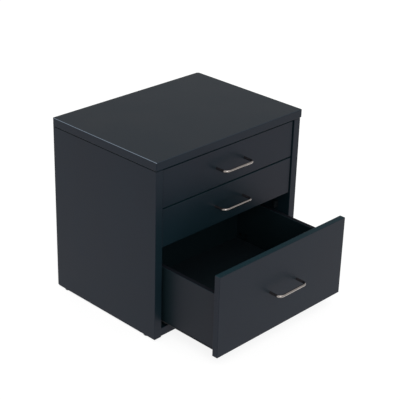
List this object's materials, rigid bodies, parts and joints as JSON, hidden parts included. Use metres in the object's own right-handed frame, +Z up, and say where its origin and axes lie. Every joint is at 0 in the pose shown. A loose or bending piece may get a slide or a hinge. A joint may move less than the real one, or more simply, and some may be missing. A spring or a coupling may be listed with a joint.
{
  "type": "nightstand with drawers",
  "caption": "Nightstand whose drawers are set between full-height sides and run on steel roller runners, with bow handles and the deep bottom drawer open.",
  "frame": {"origin": "on the floor under the centre of the carcass, which is the top's rectangle in plan", "axes": "+Z up, -Y out of the drawer fronts, +X to the right as seen from the front"},
  "size_m": [0.5, 0.585, 0.47],
  "materials": {
    "beech": "plain beech",
    "black_plastic": "black polypropylene",
    "black_steel": "black epoxy coat",
    "brushed_nickel": "satin brushed nickel",
    "dark_fittings": "black zinc",
    "hardboard": "smooth dark hardboard",
    "melamine_board": "matt anthracite melamine on 22 mm particle board",
    "melamine_box": "matt anthracite melamine on 12 mm particle board",
    "melamine_front": "matt anthracite melamine on 16 mm particle board",
    "roller_plastic": "white nylon",
    "zinc_fittings": "zinc plated"
  },
  "bodies": {
    "carcass": {"top_panel": "melamine_board", "left_side_panel": "melamine_board", "right_side_panel": "melamine_board", "bottom_panel": "melamine_board", "back_panel": "hardboard", "cam_locks": "zinc_fittings", "cam_bolts": "zinc_fittings", "dowels": "beech", "back_nails": "zinc_fittings", "floor_glides": "black_plastic", "track_screws": "zinc_fittings", "tilt_stops": "black_plastic", "top_drawer_left_track": "black_steel", "top_drawer_right_track": "black_steel", "middle_drawer_left_track": "black_steel", "middle_drawer_right_track": "black_steel", "bottom_drawer_left_track": "black_steel", "bottom_drawer_right_track": "black_steel"},
    "top_drawer": {"top_drawer_front": "melamine_front", "top_drawer_left_side": "melamine_box", "top_drawer_right_side": "melamine_box", "top_drawer_back": "melamine_box", "top_drawer_base": "hardboard", "top_drawer_handle": "brushed_nickel", "top_drawer_cam_fittings": "dark_fittings", "top_drawer_screws": "dark_fittings", "top_drawer_left_rail": "black_steel", "top_drawer_right_rail": "black_steel"},
    "top_drawer_left_track_roller": {"top_drawer_left_track_roller": "roller_plastic"},
    "top_drawer_left_rail_roller": {"top_drawer_left_rail_roller": "roller_plastic"},
    "top_drawer_right_track_roller": {"top_drawer_right_track_roller": "roller_plastic"},
    "top_drawer_right_rail_roller": {"top_drawer_right_rail_roller": "roller_plastic"},
    "middle_drawer": {"middle_drawer_front": "melamine_front", "middle_drawer_left_side": "melamine_box", "middle_drawer_right_side": "melamine_box", "middle_drawer_back": "melamine_box", "middle_drawer_base": "hardboard", "middle_drawer_handle": "brushed_nickel", "middle_drawer_cam_fittings": "dark_fittings", "middle_drawer_screws": "dark_fittings", "middle_drawer_left_rail": "black_steel", "middle_drawer_right_rail": "black_steel"},
    "middle_drawer_left_track_roller": {"middle_drawer_left_track_roller": "roller_plastic"},
    "middle_drawer_left_rail_roller": {"middle_drawer_left_rail_roller": "roller_plastic"},
    "middle_drawer_right_track_roller": {"middle_drawer_right_track_roller": "roller_plastic"},
    "middle_drawer_right_rail_roller": {"middle_drawer_right_rail_roller": "roller_plastic"},
    "bottom_drawer": {"bottom_drawer_front": "melamine_front", "bottom_drawer_left_side": "melamine_box", "bottom_drawer_right_side": "melamine_box", "bottom_drawer_back": "melamine_box", "bottom_drawer_base": "hardboard", "bottom_drawer_handle": "brushed_nickel", "bottom_drawer_cam_fittings": "dark_fittings", "bottom_drawer_screws": "dark_fittings", "bottom_drawer_left_rail": "black_steel", "bottom_drawer_right_rail": "black_steel"},
    "bottom_drawer_left_track_roller": {"bottom_drawer_left_track_roller": "roller_plastic"},
    "bottom_drawer_left_rail_roller": {"bottom_drawer_left_rail_roller": "roller_plastic"},
    "bottom_drawer_right_track_roller": {"bottom_drawer_right_track_roller": "roller_plastic"},
    "bottom_drawer_right_rail_roller": {"bottom_drawer_right_rail_roller": "roller_plastic"}
  },
  "joints": [
    {"name": "top_drawer_slide", "type": "slide", "parent": "carcass", "child": "top_drawer", "axis": [0, -1, 0], "range_m": [0, 0.26]},
    {"name": "top_drawer_left_track_roller_turn", "type": "hinge", "parent": "carcass", "child": "top_drawer_left_track_roller", "pos_m": [-0.20975, -0.1475, 0.3505], "axis": [1, 0, 0], "continuous": true},
    {"name": "top_drawer_left_rail_roller_turn", "type": "hinge", "parent": "top_drawer", "child": "top_drawer_left_rail_roller", "pos_m": [-0.21895, 0.1625, 0.3658], "axis": [1, 0, 0], "continuous": true},
    {"name": "top_drawer_right_track_roller_turn", "type": "hinge", "parent": "carcass", "child": "top_drawer_right_track_roller", "pos_m": [0.20975, -0.1475, 0.3505], "axis": [1, 0, 0], "continuous": true},
    {"name": "top_drawer_right_rail_roller_turn", "type": "hinge", "parent": "top_drawer", "child": "top_drawer_right_rail_roller", "pos_m": [0.21895, 0.1625, 0.3658], "axis": [1, 0, 0], "continuous": true},
    {"name": "middle_drawer_slide", "type": "slide", "parent": "carcass", "child": "middle_drawer", "axis": [0, -1, 0], "range_m": [0, 0.26]},
    {"name": "middle_drawer_left_track_roller_turn", "type": "hinge", "parent": "carcass", "child": "middle_drawer_left_track_roller", "pos_m": [-0.20975, -0.1475, 0.2495], "axis": [1, 0, 0], "continuous": true},
    {"name": "middle_drawer_left_rail_roller_turn", "type": "hinge", "parent": "middle_drawer", "child": "middle_drawer_left_rail_roller", "pos_m": [-0.21895, 0.1625, 0.2648], "axis": [1, 0, 0], "continuous": true},
    {"name": "middle_drawer_right_track_roller_turn", "type": "hinge", "parent": "carcass", "child": "middle_drawer_right_track_roller", "pos_m": [0.20975, -0.1475, 0.2495], "axis": [1, 0, 0], "continuous": true},
    {"name": "middle_drawer_right_rail_roller_turn", "type": "hinge", "parent": "middle_drawer", "child": "middle_drawer_right_rail_roller", "pos_m": [0.21895, 0.1625, 0.2648], "axis": [1, 0, 0], "continuous": true},
    {"name": "bottom_drawer_slide", "type": "slide", "parent": "carcass", "child": "bottom_drawer", "axis": [0, -1, 0], "range_m": [-0.1865, 0.0735]},
    {"name": "bottom_drawer_left_track_roller_turn", "type": "hinge", "parent": "carcass", "child": "bottom_drawer_left_track_roller", "pos_m": [-0.20975, -0.1475, 0.033], "axis": [1, 0, 0], "continuous": true},
    {"name": "bottom_drawer_left_rail_roller_turn", "type": "hinge", "parent": "bottom_drawer", "child": "bottom_drawer_left_rail_roller", "pos_m": [-0.21895, -0.024, 0.0483], "axis": [1, 0, 0], "continuous": true},
    {"name": "bottom_drawer_right_track_roller_turn", "type": "hinge", "parent": "carcass", "child": "bottom_drawer_right_track_roller", "pos_m": [0.20975, -0.1475, 0.033], "axis": [1, 0, 0], "continuous": true},
    {"name": "bottom_drawer_right_rail_roller_turn", "type": "hinge", "parent": "bottom_drawer", "child": "bottom_drawer_right_rail_roller", "pos_m": [0.21895, -0.024, 0.0483], "axis": [1, 0, 0], "continuous": true}
  ],
  "couplings": [
    {"joint": "top_drawer_left_track_roller_turn", "follows": "top_drawer_slide", "rad_per_m": 166.67},
    {"joint": "top_drawer_left_rail_roller_turn", "follows": "top_drawer_slide", "rad_per_m": 111.11},
    {"joint": "top_drawer_right_track_roller_turn", "follows": "top_drawer_slide", "rad_per_m": 166.67},
    {"joint": "top_drawer_right_rail_roller_turn", "follows": "top_drawer_slide", "rad_per_m": 111.11},
    {"joint": "middle_drawer_left_track_roller_turn", "follows": "middle_drawer_slide", "rad_per_m": 166.67},
    {"joint": "middle_drawer_left_rail_roller_turn", "follows": "middle_drawer_slide", "rad_per_m": 111.11},
    {"joint": "middle_drawer_right_track_roller_turn", "follows": "middle_drawer_slide", "rad_per_m": 166.67},
    {"joint": "middle_drawer_right_rail_roller_turn", "follows": "middle_drawer_slide", "rad_per_m": 111.11},
    {"joint": "bottom_drawer_left_track_roller_turn", "follows": "bottom_drawer_slide", "rad_per_m": 166.67},
    {"joint": "bottom_drawer_left_rail_roller_turn", "follows": "bottom_drawer_slide", "rad_per_m": 111.11},
    {"joint": "bottom_drawer_right_track_roller_turn", "follows": "bottom_drawer_slide", "rad_per_m": 166.67},
    {"joint": "bottom_drawer_right_rail_roller_turn", "follows": "bottom_drawer_slide", "rad_per_m": 111.11}
  ]
}
